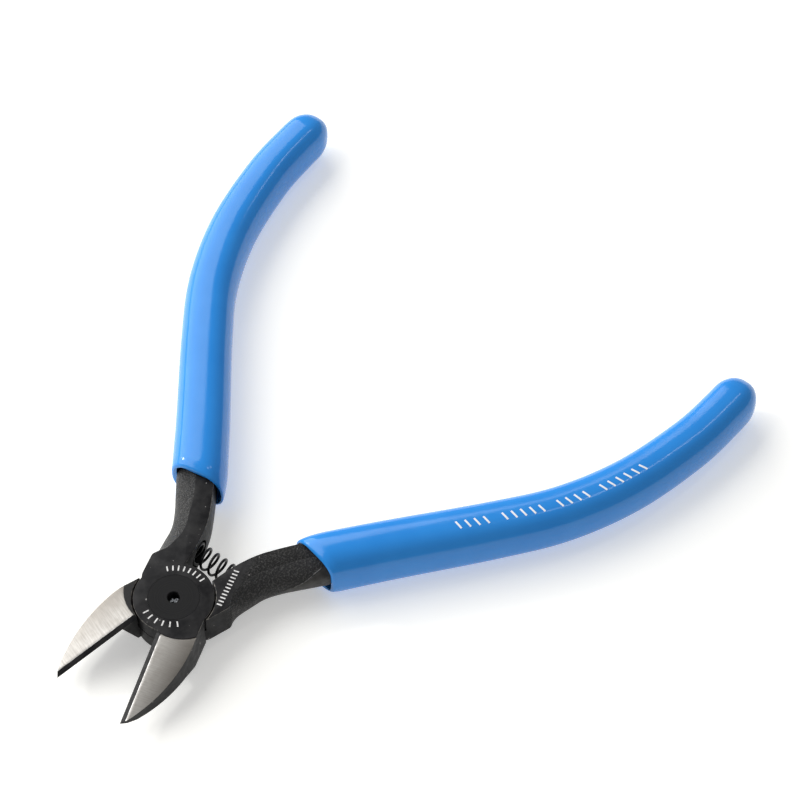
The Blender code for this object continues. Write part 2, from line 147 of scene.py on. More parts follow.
# A lever's materials, in the order in which main lists them
SMOOTH, FORGED, GROUND, STRIP, LINE, EDGE_GLINT = range(6)
RAMP_NEAR = 0.02              # faces this near to the ground surface are ground
STRIP_ABOVE = 0.01            # faces up to this far above it can be the strip's
RAMP_FACING = 0.9             # least z of an upward normal
LEVEL_FACING = 0.97           # least z, up or down, of the normals of flat tops and bottoms
OUTWARD_FACING = 0.05         # least y of a normal that looks away from the other tang
EDGE_GLINT_FACING = (0.2, 0.95)     # z of the normals on a rounding that takes the painted edge glint

# Tangs, as distances from the closing plane
NECK_Y = 8.45
NECK_FRONT_X = -3.0
NECK_BACK_X = -8.2
NECK_ROUND = 0.5
TANG_INNER = [(-12.0, 0.65), (-16.0, 0.55), (-20.0, 0.9), (-24.0, 1.9), (-28.5, 3.3)]
TANG_CREASE = [(-10.7, 6.1), (-13.2, 5.15), (-16.2, 4.65), (-20.2, 5.2), (-25.2, 6.3), (-29.0, 7.6)]
TANG_OUTER = [(-10.7, 8.35), (-13.2, 8.3), (-17.0, 8.2), (-21.0, 9.2), (-25.6, 11.0), (-29.5, 12.5)]
TANG_STEPS = 8                # from one given point of a curve to the next
INNER_DRAFT = 0.35
SLOPE_POWER = 2.6             # how fast the forged slope steepens below the crease
CORE_START_X = -31.0
CORE_INNER_TOP = (3.5, 2.6)
CORE_INNER_MID = (3.85, 2.95)
CORE_OUTER_TOP = (0.7, 0.7)
CORE_OUTER_MID = (4.6, 3.4)

# Handles
HANDLE_PATH = [(-24.0, 5.3), (-43.4, 12.4), (-64.9, 20.7), (-80.0, 25.6), (-95.8, 27.5),
               (-112.1, 26.3), (-123.0, 23.9), (-132.6, 20.9)]
HANDLE_STEPS = 12
CORE_END_SHORT = 8.5
MOUTH_X = -29.5
MOUTH_SLANT_DEG = 27.0
MOUTH_SLANT_LENGTH = 16.0
MOUTH_TAPER = 0.75
MOUTH_TAPER_LENGTH = 6.0
MOUTH_DIP_LENGTH = 2.5        # the top and bottom of the sleeve taper only near its mouth
LIP_ROUND = 0.45
SLEEVE_WIDTH = (12.0, 9.9)
SLEEVE_HEIGHT = (12.5, 11.0)
SLEEVE_SQUARENESS = 2.5
CAVITY_SQUARENESS = 5.0
SLEEVE_GAP = 0.3
SLEEVE_END_CAP = 6.5
SLEEVE_SIDES = 72
LIP_STEPS = (0.0, 0.03, 0.1, 0.2, 0.35, 0.6, 1.0)  # distances from the mouth, as parts of LIP_ROUND
LIP_END = 1.5                 # where the even stations start, in the same parts
END_CAP_DEG = range(8, 88, 8)  # stations round the rounded end
MOUTH_STATIONS = 24
SLEEVE_STATIONS = 90
CAVITY_STATIONS = 40

# Spring
SPRING_X = -13.0
SPRING_Z = 4.0
SPRING_RADIUS = 2.25
SPRING_WIRE = 0.6
SPRING_TURNS = 6.25
SPRING_PHASE_DEG = 30.0
SPRING_STEPS_PER_TURN = 32
SPRING_SIDES = 12
SPRING_REACH = 6.9            # from the middle plane to a pocket's floor
POCKET_RADIUS = 3.1           # wide enough for the coil when the closing levers tilt the pockets
POCKET_REACH = 7.2
POCKET_SEGMENTS = 64

# Printed marks: plain strokes in place of lettering
MARK_STROKE = 0.3
MARK_LIFT = 0.02
MARK_SINK = 0.06
DISC_MARKS = ((6.45, 7.65, 165.0, 232.0, 8), (5.9, 7.2, 48.0, -19.0, 6))  # radii, end angles, count
TANG_MARKS_FROM = (-4.5, 8.5)
TANG_MARKS_TO = (-12.8, 6.0)
TANG_MARK_HEIGHT = 1.15
TANG_MARK_COUNT = 11
TANG_GRAIN_GAP = 1.2          # from the middle of the row of marks to the granular skin
TANG_GRAIN_FADE = 1.4
SLEEVE_MARKS_X = (-57.6, -98.7)
SLEEVE_MARKS_SIDE = -0.8
SLEEVE_MARK_HEIGHT = 1.8
SLEEVE_MARK_STROKE = 0.42
SLEEVE_MARK_GROUPS = (4, 5, 4, 6)
SLEEVE_MARK_SLANT = 0.5
SLEEVE_MARK_POINTS = 5

# Forging line on the outer slope of a tang, as (x, z) with the pliers closed
FORGING_LINE = [(-19.6, 3.6), (-21.5, 4.25), (-23.4, 4.8), (-25.2, 5.5), (-27.6, 6.45), (-30.2, 7.15)]
FORGING_LINE_STEPS = 12
FORGING_LINE_RADIUS = 0.1
FORGING_LINE_SIDES = 8
FORGING_LINE_FADE = (12, 6)   # steps over which it rises at its start and sinks at its end
FORGING_LINE_WAVER = (0.8, 0.3)  # mean and swing of its thickness
FORGING_LINE_RATES = (1.7, 0.53)  # radians a step, of the two waves behind the swing
FORGING_LINE_THINNEST = 0.1   # as a part of its full thickness

PAST = 1.0                    # cutters reach past the steel by this much
SLIT_WIDTH = 0.001            # corners closer than this are one corner
SLIT_SIDES = 4                # a slit has no more sides than this
MITRE_LIMIT = 0.5             # an inset corner moves no further than the inset divided by this
CORNER_STEPS = 5
ROUND_SEGMENTS = 128

# Edges sharper than this stay sharp
LEVER_SMOOTH_DEG = 20.0
SLEEVE_SMOOTH_DEG = 50.0
WIRE_SMOOTH_DEG = 60.0

# Materials
NOISE_RANGE = (0.3, 0.7)      # most of a noise texture's values lie in it


# ---------------------------------------------------------------- mesh helpers

def mesh_object(name, bm):
    """A new object with this shape, its faces turned outwards."""
    bmesh.ops.recalc_face_normals(bm, faces=bm.faces)
    mesh = bpy.data.meshes.new(name)
    bm.to_mesh(mesh)
    bm.free()
    obj = bpy.data.objects.new(name, mesh)
    bpy.context.scene.collection.objects.link(obj)
    return obj


def subtract(target, cutter):
    """Cut the cutter out of the target and delete the cutter."""
    modifier = target.modifiers.new("cut", "BOOLEAN")
    modifier.operation = "DIFFERENCE"
    modifier.solver = "EXACT"
    modifier.object = cutter
    graph = bpy.context.evaluated_depsgraph_get()
    mesh = bpy.data.meshes.new_from_object(target.evaluated_get(graph))
    target.modifiers.clear()
    target.data = mesh
    bpy.data.objects.remove(cutter)


def close_slits(obj):
    """Close the slits of no width that the cuts leave where their edges cross."""
    bm = bmesh.new()
    bm.from_mesh(obj.data)
    bmesh.ops.remove_doubles(bm, verts=bm.verts, dist=SLIT_WIDTH)
    bmesh.ops.holes_fill(bm, edges=bm.edges, sides=SLIT_SIDES)
    bm.to_mesh(obj.data)
    bm.free()


def finish_piece(obj, turn_deg=0.0, smooth_deg=LEVER_SMOOTH_DEG):
    """From millimetres to metres, turned about the pivot, with smooth shading where faces meet gently."""
    obj.data.transform(Matrix.Rotation(math.radians(turn_deg), 4, "Z") @ Matrix.Scale(MM, 4))
    obj.data.shade_smooth()
    obj.data.set_sharp_from_angle(angle=math.radians(smooth_deg))
    return obj


def mirrored(bm, side):
    """Mirror a closed-position shape to the other lever."""
    if side < 0:
        bmesh.ops.scale(bm, vec=(1.0, -1.0, 1.0), verts=bm.verts)
        bmesh.ops.reverse_faces(bm, faces=bm.faces)
    return bm


def loft(rings):
    """A closed solid through rings with equal numbers of points, with flat ends."""
    bm = bmesh.new()
    loops = [[bm.verts.new(point) for point in ring] for ring in rings]
    count = len(loops[0])
    for lower, upper in zip(loops, loops[1:]):
        for i in range(count):
            j = (i + 1) % count
            bm.faces.new((lower[i], lower[j], upper[j], upper[i]))
    bm.faces.new(list(reversed(loops[0])))
    bm.faces.new(loops[-1])
    return bm


def revolve(profile, segments=ROUND_SEGMENTS):
    """A solid turned about Z; the profile's first and last points lie on the axis."""
    bm = bmesh.new()
    bottom = bm.verts.new((0.0, 0.0, profile[0][1]))
    top = bm.verts.new((0.0, 0.0, profile[-1][1]))
    rings = []
    for radius, z in profile[1:-1]:
        ring = []
        for k in range(segments):
            angle = math.tau * k / segments
            ring.append(bm.verts.new((radius * math.cos(angle), radius * math.sin(angle), z)))
        rings.append(ring)
    for k in range(segments):
        j = (k + 1) % segments
        bm.faces.new((bottom, rings[0][j], rings[0][k]))
        for lower, upper in zip(rings, rings[1:]):
            bm.faces.new((lower[k], lower[j], upper[j], upper[k]))
        bm.faces.new((top, rings[-1][k], rings[-1][j]))
    return bm


def cylinder(radius, z_low, z_high, segments=ROUND_SEGMENTS):
    """A cylinder round Z."""
    return revolve([(0.0, z_low), (radius, z_low), (radius, z_high), (0.0, z_high)], segments)


def hull(points):
    """The smallest convex solid that holds the points."""
    bm = bmesh.new()
    for point in points:
        bm.verts.new(point)
    bmesh.ops.convex_hull(bm, input=bm.verts)
    return bm


def catmull_rom(points, per_span):
    """A smooth curve through the points, as a list of points."""
    ends = [2 * Vector(points[0]) - Vector(points[1])]
    ends += [Vector(point) for point in points]
    ends.append(2 * Vector(points[-1]) - Vector(points[-2]))
    curve = []
    for a, b, c, d in zip(ends, ends[1:], ends[2:], ends[3:]):
        for step in range(per_span):
            t = step / per_span
            curve.append(0.5 * (2 * b + (c - a) * t + (2 * a - 5 * b + 4 * c - d) * t * t
                                + (3 * b - 3 * c + d - a) * t ** 3))
    curve.append(ends[-2])
    return curve


def arc_points(centre, radius, start_deg, end_deg, steps):
    """Points at equal steps along an arc, both ends included."""
    points = []
    for k in range(steps + 1):
        angle = math.radians(start_deg + (end_deg - start_deg) * k / steps)
        points.append(Vector((centre[0] + radius * math.cos(angle), centre[1] + radius * math.sin(angle))))
    return points


def rounded_corner(before, corner, after, radius):
    """A corner of an outline, softened by a short curve."""
    corner = Vector(corner)
    start = corner + (Vector(before) - corner).normalized() * radius
    end = corner + (Vector(after) - corner).normalized() * radius
    curve = []
    for k in range(CORNER_STEPS + 1):
        t = k / CORNER_STEPS
        curve.append(start * (1 - t) ** 2 + corner * 2 * t * (1 - t) + end * t * t)
    return curve


def inset_outline(points, distance):
    """A closed anticlockwise outline moved inwards."""
    moved = []
    for before, point, after in zip(points[-1:] + points[:-1], points, points[1:] + points[:1]):
        along_in = (point - before).normalized()
        along_out = (after - point).normalized()
        inward = Vector((-along_in.y - along_out.y, along_in.x + along_out.x)).normalized()
        stretch = max(MITRE_LIMIT, inward.dot(Vector((-along_in.y, along_in.x))))
        moved.append(point + inward * distance / stretch)
    return moved


def round_inset(depth, radius):
    """How far a rounded edge stands in from the side, at a depth below the flat face."""
    if depth >= radius:
        return 0.0
    return radius - math.sqrt(radius ** 2 - (radius - depth) ** 2)


# ---------------------------------------------------------------- lever shape

def path_frames():
    """Points along the handle's middle line, each with its direction, its sideways direction and the run."""
    path = catmull_rom(HANDLE_PATH, HANDLE_STEPS)
    frames = []
    run = 0.0
    for i, point in enumerate(path):
        before = path[max(i - 1, 0)]
        after = path[min(i + 1, len(path) - 1)]
        along = (after - before).normalized()
        if i:
            run += (point - path[i - 1]).length
        frames.append((point, along, Vector((-along.y, along.x)), run))
    return frames


def core_side(side, reach):
    """One side of the steel inside the sleeve. side is +1 away from the other handle, -1 towards it."""
    frames = path_frames()
    length = frames[-1][3] - CORE_END_SHORT
    points = []
    for point, _, across, run in frames[::2]:
        if point.x <= CORE_START_X and run <= length:
            outward = -across if across.y < 0 else across
            points.append(point + outward * side * (reach[0] + (reach[1] - reach[0]) * run / length))
    return points


def tang_inner_side(slope):
    """The side towards the other tang; slope runs from 0 at the flat faces to 1 at mid height."""
    tang = [Vector((p.x, p.y - INNER_DRAFT * slope)) for p in catmull_rom(TANG_INNER, TANG_STEPS)]
    core = zip(core_side(-1, CORE_INNER_TOP), core_side(-1, CORE_INNER_MID))
    return tang + [top.lerp(mid, slope) for top, mid in core]


def tang_outer_side(slope):
    """The side away from the other tang, from its crease at slope 0 to its widest at slope 1."""
    crease = catmull_rom(TANG_CREASE, TANG_STEPS) + core_side(1, CORE_OUTER_TOP)
    widest = catmull_rom(TANG_OUTER, TANG_STEPS) + core_side(1, CORE_OUTER_MID)
    return [top.lerp(mid, slope) for top, mid in zip(crease, widest)]


def jaw_outer_side():
    """The arc of the jaw's outer side, from the toe back to the shoulder."""
    toe = Vector(JAW_TOE)
    shoulder = Vector(JAW_SHOULDER)
    middle = (toe + shoulder) / 2
    chord = shoulder - toe
    reach = math.sqrt(JAW_ARC_RADIUS ** 2 - (chord.length / 2) ** 2)
    centre = middle + Vector((-chord.y, chord.x)).normalized() * reach
    start = math.degrees(math.atan2(toe.y - centre.y, toe.x - centre.x))
    end = math.degrees(math.atan2(shoulder.y - centre.y, shoulder.x - centre.x))
    return arc_points(centre, JAW_ARC_RADIUS, start, end, JAW_ARC_STEPS)


def jaw_lean(x, z):
    """How far the jaw's outer side stands out past its top edge."""
    lean = JAW_FLARE * (HEAD - z) / HEAD
    from_toe = min(1.0, (JAW_TOE[0] - x) / BELLY_TOE_FADE)
    from_root = min(1.0, max(0.0, x - JAW_SHOULDER[0]) / BELLY_ROOT_FADE)
    belly = max(0.0, 1.0 - z / JAW_BELLY_Z)
    return lean - (JAW_FLARE + JAW_BELLY_IN) * belly * from_toe * from_root


def lever_outline(z):
    """The outline at one height, for the lever whose jaw is on the +Y side when closed."""
    depth = min(z, HEAD - z)
    slope = 1.0 - (1.0 - depth / MID_Z) ** SLOPE_POWER
    outline = [point + Vector((0.0, jaw_lean(point.x, z))) for point in jaw_outer_side()]
    outline.append(Vector((JAW_ROOT[0], JAW_ROOT[1] + jaw_lean(JAW_ROOT[0], z))))
    outline += arc_points((0.0, 0.0), DISC_RADIUS, *DISC_FRONT_ARC)
    outline += [Vector((p.x, -p.y)) for p in tang_inner_side(slope)]
    outer = [Vector((p.x, -p.y)) for p in reversed(tang_outer_side(slope))]
    outline += outer
    neck_front = Vector((NECK_FRONT_X, -NECK_Y))
    neck_back = Vector((NECK_BACK_X, -NECK_Y))
    back_arc = arc_points((0.0, 0.0), DISC_RADIUS, *DISC_BACK_ARC)
    outline += rounded_corner(outer[-1], neck_back, neck_front, NECK_ROUND)
    outline += rounded_corner(neck_back, neck_front, back_arc[0], NECK_ROUND)
    outline += back_arc
    outline += [Vector((DISC_RADIUS, EDGE_CLEARANCE)), Vector((JAW_TIP_X, EDGE_CLEARANCE))]
    outline = inset_outline(outline, round_inset(depth, EDGE_ROUND))
    return [(point.x, point.y, z) for point in outline]


def lever_body():
    """The uncut lever, drawn level by level."""
    levels = [*OUTLINE_DEPTHS, MID_Z, *(HEAD - depth for depth in reversed(OUTLINE_DEPTHS))]
    return loft([lever_outline(z) for z in levels])


def ramp_z(x, y=STRIP_WIDTH):
    """Height of a jaw's ground face, which is slightly crowned."""
    return RAMP_TOP - RAMP_SLOPE * (x - RAMP_START_X) - RAMP_CROWN * max(0.0, y - STRIP_WIDTH) ** 2


def edge_z(x):
    """Height of the cutting edge."""
    return ramp_z(x) - STRIP_DROP


def ramp_cutter():
    """Everything above the ground face of a jaw, which is level at its root and then falls to the tip."""
    root_x = JAW_ROOT[0]
    tip_x = JAW_TIP_X + PAST
    roof_z = HEAD + PAST
    rings = []
    for y in [-PAST] + even_steps(STRIP_WIDTH, JAW_SHOULDER[1] + PAST, RAMP_SECTIONS):
        bend_x = RAMP_START_X - (ramp_z(0.0) - ramp_z(0.0, y)) / RAMP_SLOPE
        profile = [(root_x, RAMP_TOP), (bend_x, RAMP_TOP), (tip_x, ramp_z(tip_x, y)), (tip_x, roof_z),
                   (root_x, roof_z)]
        rings.append([(x, y, z) for x, z in profile])
    return loft(rings)


def strip_cutter():
    """Everything above the strip beside the cutting edge, with a narrow facet at its outer side."""
    fall = STRIP_DROP / STRIP_WIDTH
    line_z = ramp_z(0.0) - ramp_z(0.0, STRIP_WIDTH + STRIP_LINE)
    rings = []
    for x in (DISC_RADIUS - PAST, JAW_TIP_X + PAST):
        top = ramp_z(x)
        rings.append([(x, STRIP_WIDTH + STRIP_LINE, top - line_z),
                      (x, STRIP_WIDTH - STRIP_LINE, top - fall * STRIP_LINE),
                      (x, -PAST, top - fall * (STRIP_WIDTH + PAST)),
                      (x, -PAST, HEAD + PAST),
                      (x, STRIP_WIDTH + STRIP_LINE, HEAD + PAST)])
    return loft(rings)


def relief_cutter():
    """The V-shaped hollow under the closed cutting edges, with a slanted end wall at its root."""
    flank = math.tan(math.radians(RELIEF_FLANK_DEG))
    foot_x = RELIEF_FOOT_X - PAST * (RELIEF_START_X - RELIEF_FOOT_X) / edge_z(RELIEF_START_X)
    tip_x = JAW_TIP_X + PAST
    points = [(RELIEF_START_X, 0.0, edge_z(RELIEF_START_X)), (tip_x, 0.0, edge_z(tip_x))]
    for side in (-1.0, 1.0):
        points.append((foot_x, side * RELIEF_FOOT_HALF, -PAST))
        points.append((RELIEF_START_X, side * (edge_z(RELIEF_START_X) + PAST) * flank, -PAST))
        points.append((tip_x, side * (edge_z(tip_x) + PAST) * flank, -PAST))
    return hull(points)


def toe_cutter():
    """A wedge under the jaw's toe."""
    tip_x = JAW_TIP_X + PAST
    rings = []
    for y in (-PAST, JAW_SHOULDER[1] + PAST):
        rings.append([(TOE_LIFT_X, y, 0.0), (tip_x, y, (tip_x - TOE_LIFT_X) * TOE_LIFT_SLOPE),
                      (tip_x, y, -PAST), (TOE_LIFT_X, y, -PAST)])
    return loft(rings)


def flared_cylinder(radius, z_floor, z_mouth, z_past):
    """A cylinder cutter whose mouth is widened by a small chamfer at the surface it enters."""
    inward = math.copysign(EDGE_ROUND, z_floor - z_mouth)
    profile = [(0.0, z_floor), (radius, z_floor), (radius, z_mouth + inward),
               (radius + EDGE_ROUND, z_mouth), (radius + EDGE_ROUND, z_past), (0.0, z_past)]
    return revolve(profile)


def ramp_arc(side):
    """The cylinder whose side is the curved root of a jaw's ground face."""
    bm = cylinder(RAMP_ARC_RADIUS, -2 * PAST, HEAD + 2 * PAST, RAMP_ARC_SEGMENTS)
    bmesh.ops.translate(bm, vec=(RAMP_ARC_CENTRE[0], side * RAMP_ARC_CENTRE[1], 0.0), verts=bm.verts)
    return bm


def lever_face_material(centre, normal, side):
    """Which of the lever's materials a face takes."""
    x, y, z = centre.x, centre.y * side, centre.z
    on_ramp = normal.z > RAMP_FACING and x > DISC_RADIUS - PAST and y > 0.0
    off_ramp = abs(z - min(RAMP_TOP, ramp_z(x, y)))
    if on_ramp and off_ramp < RAMP_NEAR and y > STRIP_WIDTH + STRIP_LINE:
        return GROUND
    if on_ramp and z < ramp_z(x, y) + STRIP_ABOVE:
        return LINE if abs(y - STRIP_WIDTH) < STRIP_LINE else STRIP
    faces_out = normal.y * side < -OUTWARD_FACING and abs(normal.z) < LEVEL_FACING
    if faces_out and x < NECK_BACK_X - NECK_ROUND:
        return FORGED
    # the rounded top edges take the painted edge glint
    if z > HEAD - EDGE_ROUND and EDGE_GLINT_FACING[0] < normal.z < EDGE_GLINT_FACING[1]:
        return EDGE_GLINT
    return SMOOTH


def make_lever(name, side, materials):
    """side is +1 for the lever whose jaw is on +Y and whose disc is the upper one, -1 for the other."""
    lever = mesh_object(name, mirrored(lever_body(), side))
    if side > 0:
        lap = flared_cylinder(RECESS_RADIUS, MID_Z + LAP_GAP / 2, 0.0, -PAST)
        seat_z = HEAD - RIVET_DEPTH - BORE_GAP
        seat = cylinder(RIVET_RADIUS + RIVET_SEAM, seat_z, HEAD + PAST)
    else:
        lap = flared_cylinder(RECESS_RADIUS, MID_Z - LAP_GAP / 2, HEAD, HEAD + PAST)
        seat = cylinder(TAIL_RADIUS + RIVET_SEAM, -PAST, TAIL_DEPTH + BORE_GAP)
    subtract(lever, mesh_object("lap", lap))
    for shape in (ramp_cutter(), strip_cutter()):
        cutter = mesh_object("ground", mirrored(shape, side))
        subtract(cutter, mesh_object("arc", ramp_arc(side)))
        subtract(lever, cutter)
    subtract(lever, mesh_object("relief", relief_cutter()))
    subtract(lever, mesh_object("toe", mirrored(toe_cutter(), side)))
    subtract(lever, mesh_object("bore", cylinder(SHANK_RADIUS + BORE_GAP, -PAST, HEAD + PAST)))
    subtract(lever, mesh_object("seat", seat))

    pocket = cylinder(POCKET_RADIUS, 0.0, POCKET_REACH, POCKET_SEGMENTS)
    turn = Matrix.Translation((SPRING_X, 0.0, SPRING_Z)) @ Matrix.Rotation(side * math.pi / 2, 4, "X")
    pocket.transform(Matrix.Rotation(math.radians(-side * OPEN_HALF_DEG), 4, "Z") @ turn)
    subtract(lever, mesh_object("pocket", pocket))
    close_slits(lever)

    for mat in materials:
        lever.data.materials.append(mat)
    for face in lever.data.polygons:
        face.material_index = lever_face_material(face.center, face.normal, side)
    return finish_piece(lever, side * OPEN_HALF_DEG)


# ---------------------------------------------------------------- rivet, sleeves, spring

def make_rivet(mat, cone_mat):
    """The turned rivet, with another material on the bottom of its blind hole."""
    under_head = HEAD - RIVET_DEPTH
    profile = [(0.0, 0.0), (TAIL_RADIUS - RIVET_ROUND, 0.0), (TAIL_RADIUS, RIVET_ROUND),
               (TAIL_RADIUS, TAIL_DEPTH), (SHANK_RADIUS, TAIL_DEPTH), (SHANK_RADIUS, under_head),
               (RIVET_RADIUS, under_head), (RIVET_RADIUS, HEAD - RIVET_ROUND),
               (RIVET_RADIUS - RIVET_ROUND, HEAD), (HOLE_RADIUS + HOLE_ROUND, HEAD),
               (HOLE_RADIUS, HEAD - HOLE_ROUND), (HOLE_RADIUS, HEAD - HOLE_DEPTH),
               (0.0, HEAD - HOLE_DEPTH - HOLE_CONE)]
    rivet = mesh_object("rivet_turned", revolve(profile))
    rivet.data.materials.append(mat)
    rivet.data.materials.append(cone_mat)
    for face in rivet.data.polygons:
        in_cone = MID_Z < face.center.z < HEAD - HOLE_DEPTH and face.center.xy.length < HOLE_RADIUS
        face.material_index = int(in_cone)
    return finish_piece(rivet)


def section_ring(place, size, squareness, shear, points):
    """One rounded-rectangle ring of a sleeve; shear slants it along the handle."""
    centre, along, across = place
    half_width, half_height, shift = size
    ring = []
    power = 2.0 / squareness
    for k in range(points):
        angle = math.tau * k / points
        c, s = math.cos(angle), math.sin(angle)
        u = half_width * math.copysign(abs(c) ** power, c)
        w = half_height * math.copysign(abs(s) ** power, s)
        spot = centre + across * (u - shift) + along * u * shear
        ring.append((spot.x, spot.y, MID_Z + w))
    return ring


def sample_path(frames, run):
    """The point, direction and sideways direction at a distance along the handle's middle line."""
    for a, b in zip(frames, frames[1:]):
        if run <= b[3]:
            t = (run - a[3]) / (b[3] - a[3])
            return a[0].lerp(b[0], t), a[1].lerp(b[1], t).normalized(), a[2].lerp(b[2], t).normalized()
    return frames[-1][:3]


def mouth_run(frames):
    """The distance along the handle's middle line at which the sleeve starts."""
    for a, b in zip(frames, frames[1:]):
        if b[0].x <= MOUTH_X:
            t = (a[0].x - MOUTH_X) / (a[0].x - b[0].x)
            return a[3] + (b[3] - a[3]) * t


def even_steps(start, end, count):
    """Numbers at equal steps, both ends included."""
    return [start + (end - start) * k / (count - 1) for k in range(count)]


def sleeve_size(run, start, total):
    """Half the width, half the height and the shift away from the other handle."""
    t = (run - start) / (total - start)
    width = SLEEVE_WIDTH[0] + (SLEEVE_WIDTH[1] - SLEEVE_WIDTH[0]) * t
    height = SLEEVE_HEIGHT[0] + (SLEEVE_HEIGHT[1] - SLEEVE_HEIGHT[0]) * t
    taper = MOUTH_TAPER * max(0.0, 1.0 - (run - start) / MOUTH_TAPER_LENGTH) ** 2
    dip = MOUTH_TAPER * max(0.0, 1.0 - (run - start) / MOUTH_DIP_LENGTH) ** 2
    lip = round_inset(run - start, LIP_ROUND)
    into_cap = max(0.0, (run - total + SLEEVE_END_CAP) / SLEEVE_END_CAP)
    cap = math.sqrt(1.0 - into_cap ** 2)
    return ((width - taper) / 2 - lip) * cap, (height / 2 - dip - lip) * cap, taper / 2


def make_sleeve(name, side, mat):
    """A dipped sleeve: its cavity from the bottom to the mouth, then its skin from the mouth to the end."""
    frames = path_frames()
    start = mouth_run(frames)
    total = frames[-1][3]
    cap_start = total - SLEEVE_END_CAP
    slant = math.tan(math.radians(MOUTH_SLANT_DEG))

    def inner_size(run):
        """Half the width, half the height and the shift of the cavity."""
        t = run / (total - CORE_END_SHORT)
        reach = CORE_OUTER_MID[0] + (CORE_OUTER_MID[1] - CORE_OUTER_MID[0]) * t
        return reach + SLEEVE_GAP, MID_Z + SLEEVE_GAP, 0.0

    def outer_size(run):
        """The same for the skin."""
        return sleeve_size(run, start, total)

    def rings(runs, size, squareness):
        """The sections at these distances, slanted at the mouth."""
        made = []
        for run in runs:
            fade = max(0.0, 1.0 - (run - start) / MOUTH_SLANT_LENGTH)
            place = sample_path(frames, run)
            made.append(section_ring(place, size(run), squareness, -slant * fade, SLEEVE_SIDES))
        return made

    outer_runs = [start + LIP_ROUND * step for step in LIP_STEPS]
    outer_runs += even_steps(start + LIP_END * LIP_ROUND, start + MOUTH_TAPER_LENGTH, MOUTH_STATIONS)
    outer_runs += even_steps(start + MOUTH_TAPER_LENGTH, cap_start, SLEEVE_STATIONS)[1:]
    outer_runs += [cap_start + SLEEVE_END_CAP * math.sin(math.radians(angle)) for angle in END_CAP_DEG]
    inner_runs = even_steps(start, total - CORE_END_SHORT + SLEEVE_GAP, CAVITY_STATIONS)
    skin = list(reversed(rings(inner_runs, inner_size, CAVITY_SQUARENESS)))
    skin += rings(outer_runs, outer_size, SLEEVE_SQUARENESS)
    # a lever's handle is on the other side from its jaw
    sleeve = mesh_object(name, mirrored(loft(skin), -side))
    sleeve.data.materials.append(mat)
    return finish_piece(sleeve, side * OPEN_HALF_DEG, SLEEVE_SMOOTH_DEG)


def make_spring(mat):
    """The coil, at rest between the floors of the two pockets."""
    length = 2 * SPRING_REACH - SPRING_WIRE
    steps = round(SPRING_TURNS * SPRING_STEPS_PER_TURN)
    start = Vector((SPRING_X, -length / 2, SPRING_Z))
    along = Vector((0.0, 1.0, 0.0))
    rings = []
    for k in range(steps + 1):
        angle = math.radians(SPRING_PHASE_DEG) - math.tau * k / SPRING_STEPS_PER_TURN
        radial = Vector((math.cos(angle), 0.0, math.sin(angle)))
        centre = start + along * (length * k / steps) + radial * SPRING_RADIUS
        ring = []
        for j in range(SPRING_SIDES):
            turn = math.tau * j / SPRING_SIDES
            spot = centre + (radial * math.cos(turn) + along * math.sin(turn)) * SPRING_WIRE / 2
            ring.append(tuple(spot))
        rings.append(ring)
    spring = mesh_object("spring_coil", loft(rings))
    spring.data.materials.append(mat)
    return finish_piece(spring, 0.0, WIRE_SMOOTH_DEG)


# ---------------------------------------------------------------- marks

def stroke_rings(points, width):
    """A printed stroke along points that lie on a surface, as the rings of a thin closed solid."""
    along = points[-1] - points[0]
    beside = Vector((-along.y, along.x, 0.0)).normalized() * width / 2
    up = Vector((0.0, 0.0, MARK_LIFT))
    down = Vector((0.0, 0.0, -MARK_SINK))
    return [(p - beside + down, p + beside + down, p + beside + up, p - beside + up) for p in points]


def make_marks(name, strokes, width, mat, turn_deg=0.0):
    """Printed strokes joined into one piece."""
    bm = bmesh.new()
    for points in strokes:
        part = bpy.data.meshes.new("stroke")
        stroke = loft(stroke_rings(points, width))
        stroke.to_mesh(part)
        stroke.free()
        bm.from_mesh(part)
        bpy.data.meshes.remove(part)
    marks = mesh_object(name, bm)
    marks.data.materials.append(mat)
    return finish_piece(marks, turn_deg)


def disc_strokes():
    """Radial strokes in two arcs round the rivet, in the open rest position."""
    strokes = []
    for inner, outer, first, last, count in DISC_MARKS:
        for angle in even_steps(first, last, count):
            ray = Vector((math.cos(math.radians(angle)), math.sin(math.radians(angle)), 0.0))
            strokes.append([ray * radius + Vector((0.0, 0.0, HEAD)) for radius in (inner, outer)])
    return strokes


def tang_strokes():
    """A row of strokes across a straight line, in the open rest position."""
    first = Vector((*TANG_MARKS_FROM, HEAD))
    last = Vector((*TANG_MARKS_TO, HEAD))
    row = (last - first).normalized()
    half = Vector((-row.y, row.x, 0.0)) * TANG_MARK_HEIGHT / 2
    strokes = []
    for k in even_steps(0.0, 1.0, TANG_MARK_COUNT):
        spot = first.lerp(last, k)
        strokes.append([spot - half, spot + half])
    return strokes


def sleeve_top(frames, run, u):
    """A point on the upper side of a sleeve, beside its middle line, in the closed position."""
    start = mouth_run(frames)
    total = frames[-1][3]
    centre, _, across = sample_path(frames, run)
    half_width, half_height, shift = sleeve_size(run, start, total)
    spot = centre + across * (u - shift)
    rise = (1.0 - abs(u / half_width) ** SLEEVE_SQUARENESS) ** (1.0 / SLEEVE_SQUARENESS)
    return Vector((spot.x, spot.y, MID_Z + half_height * rise))


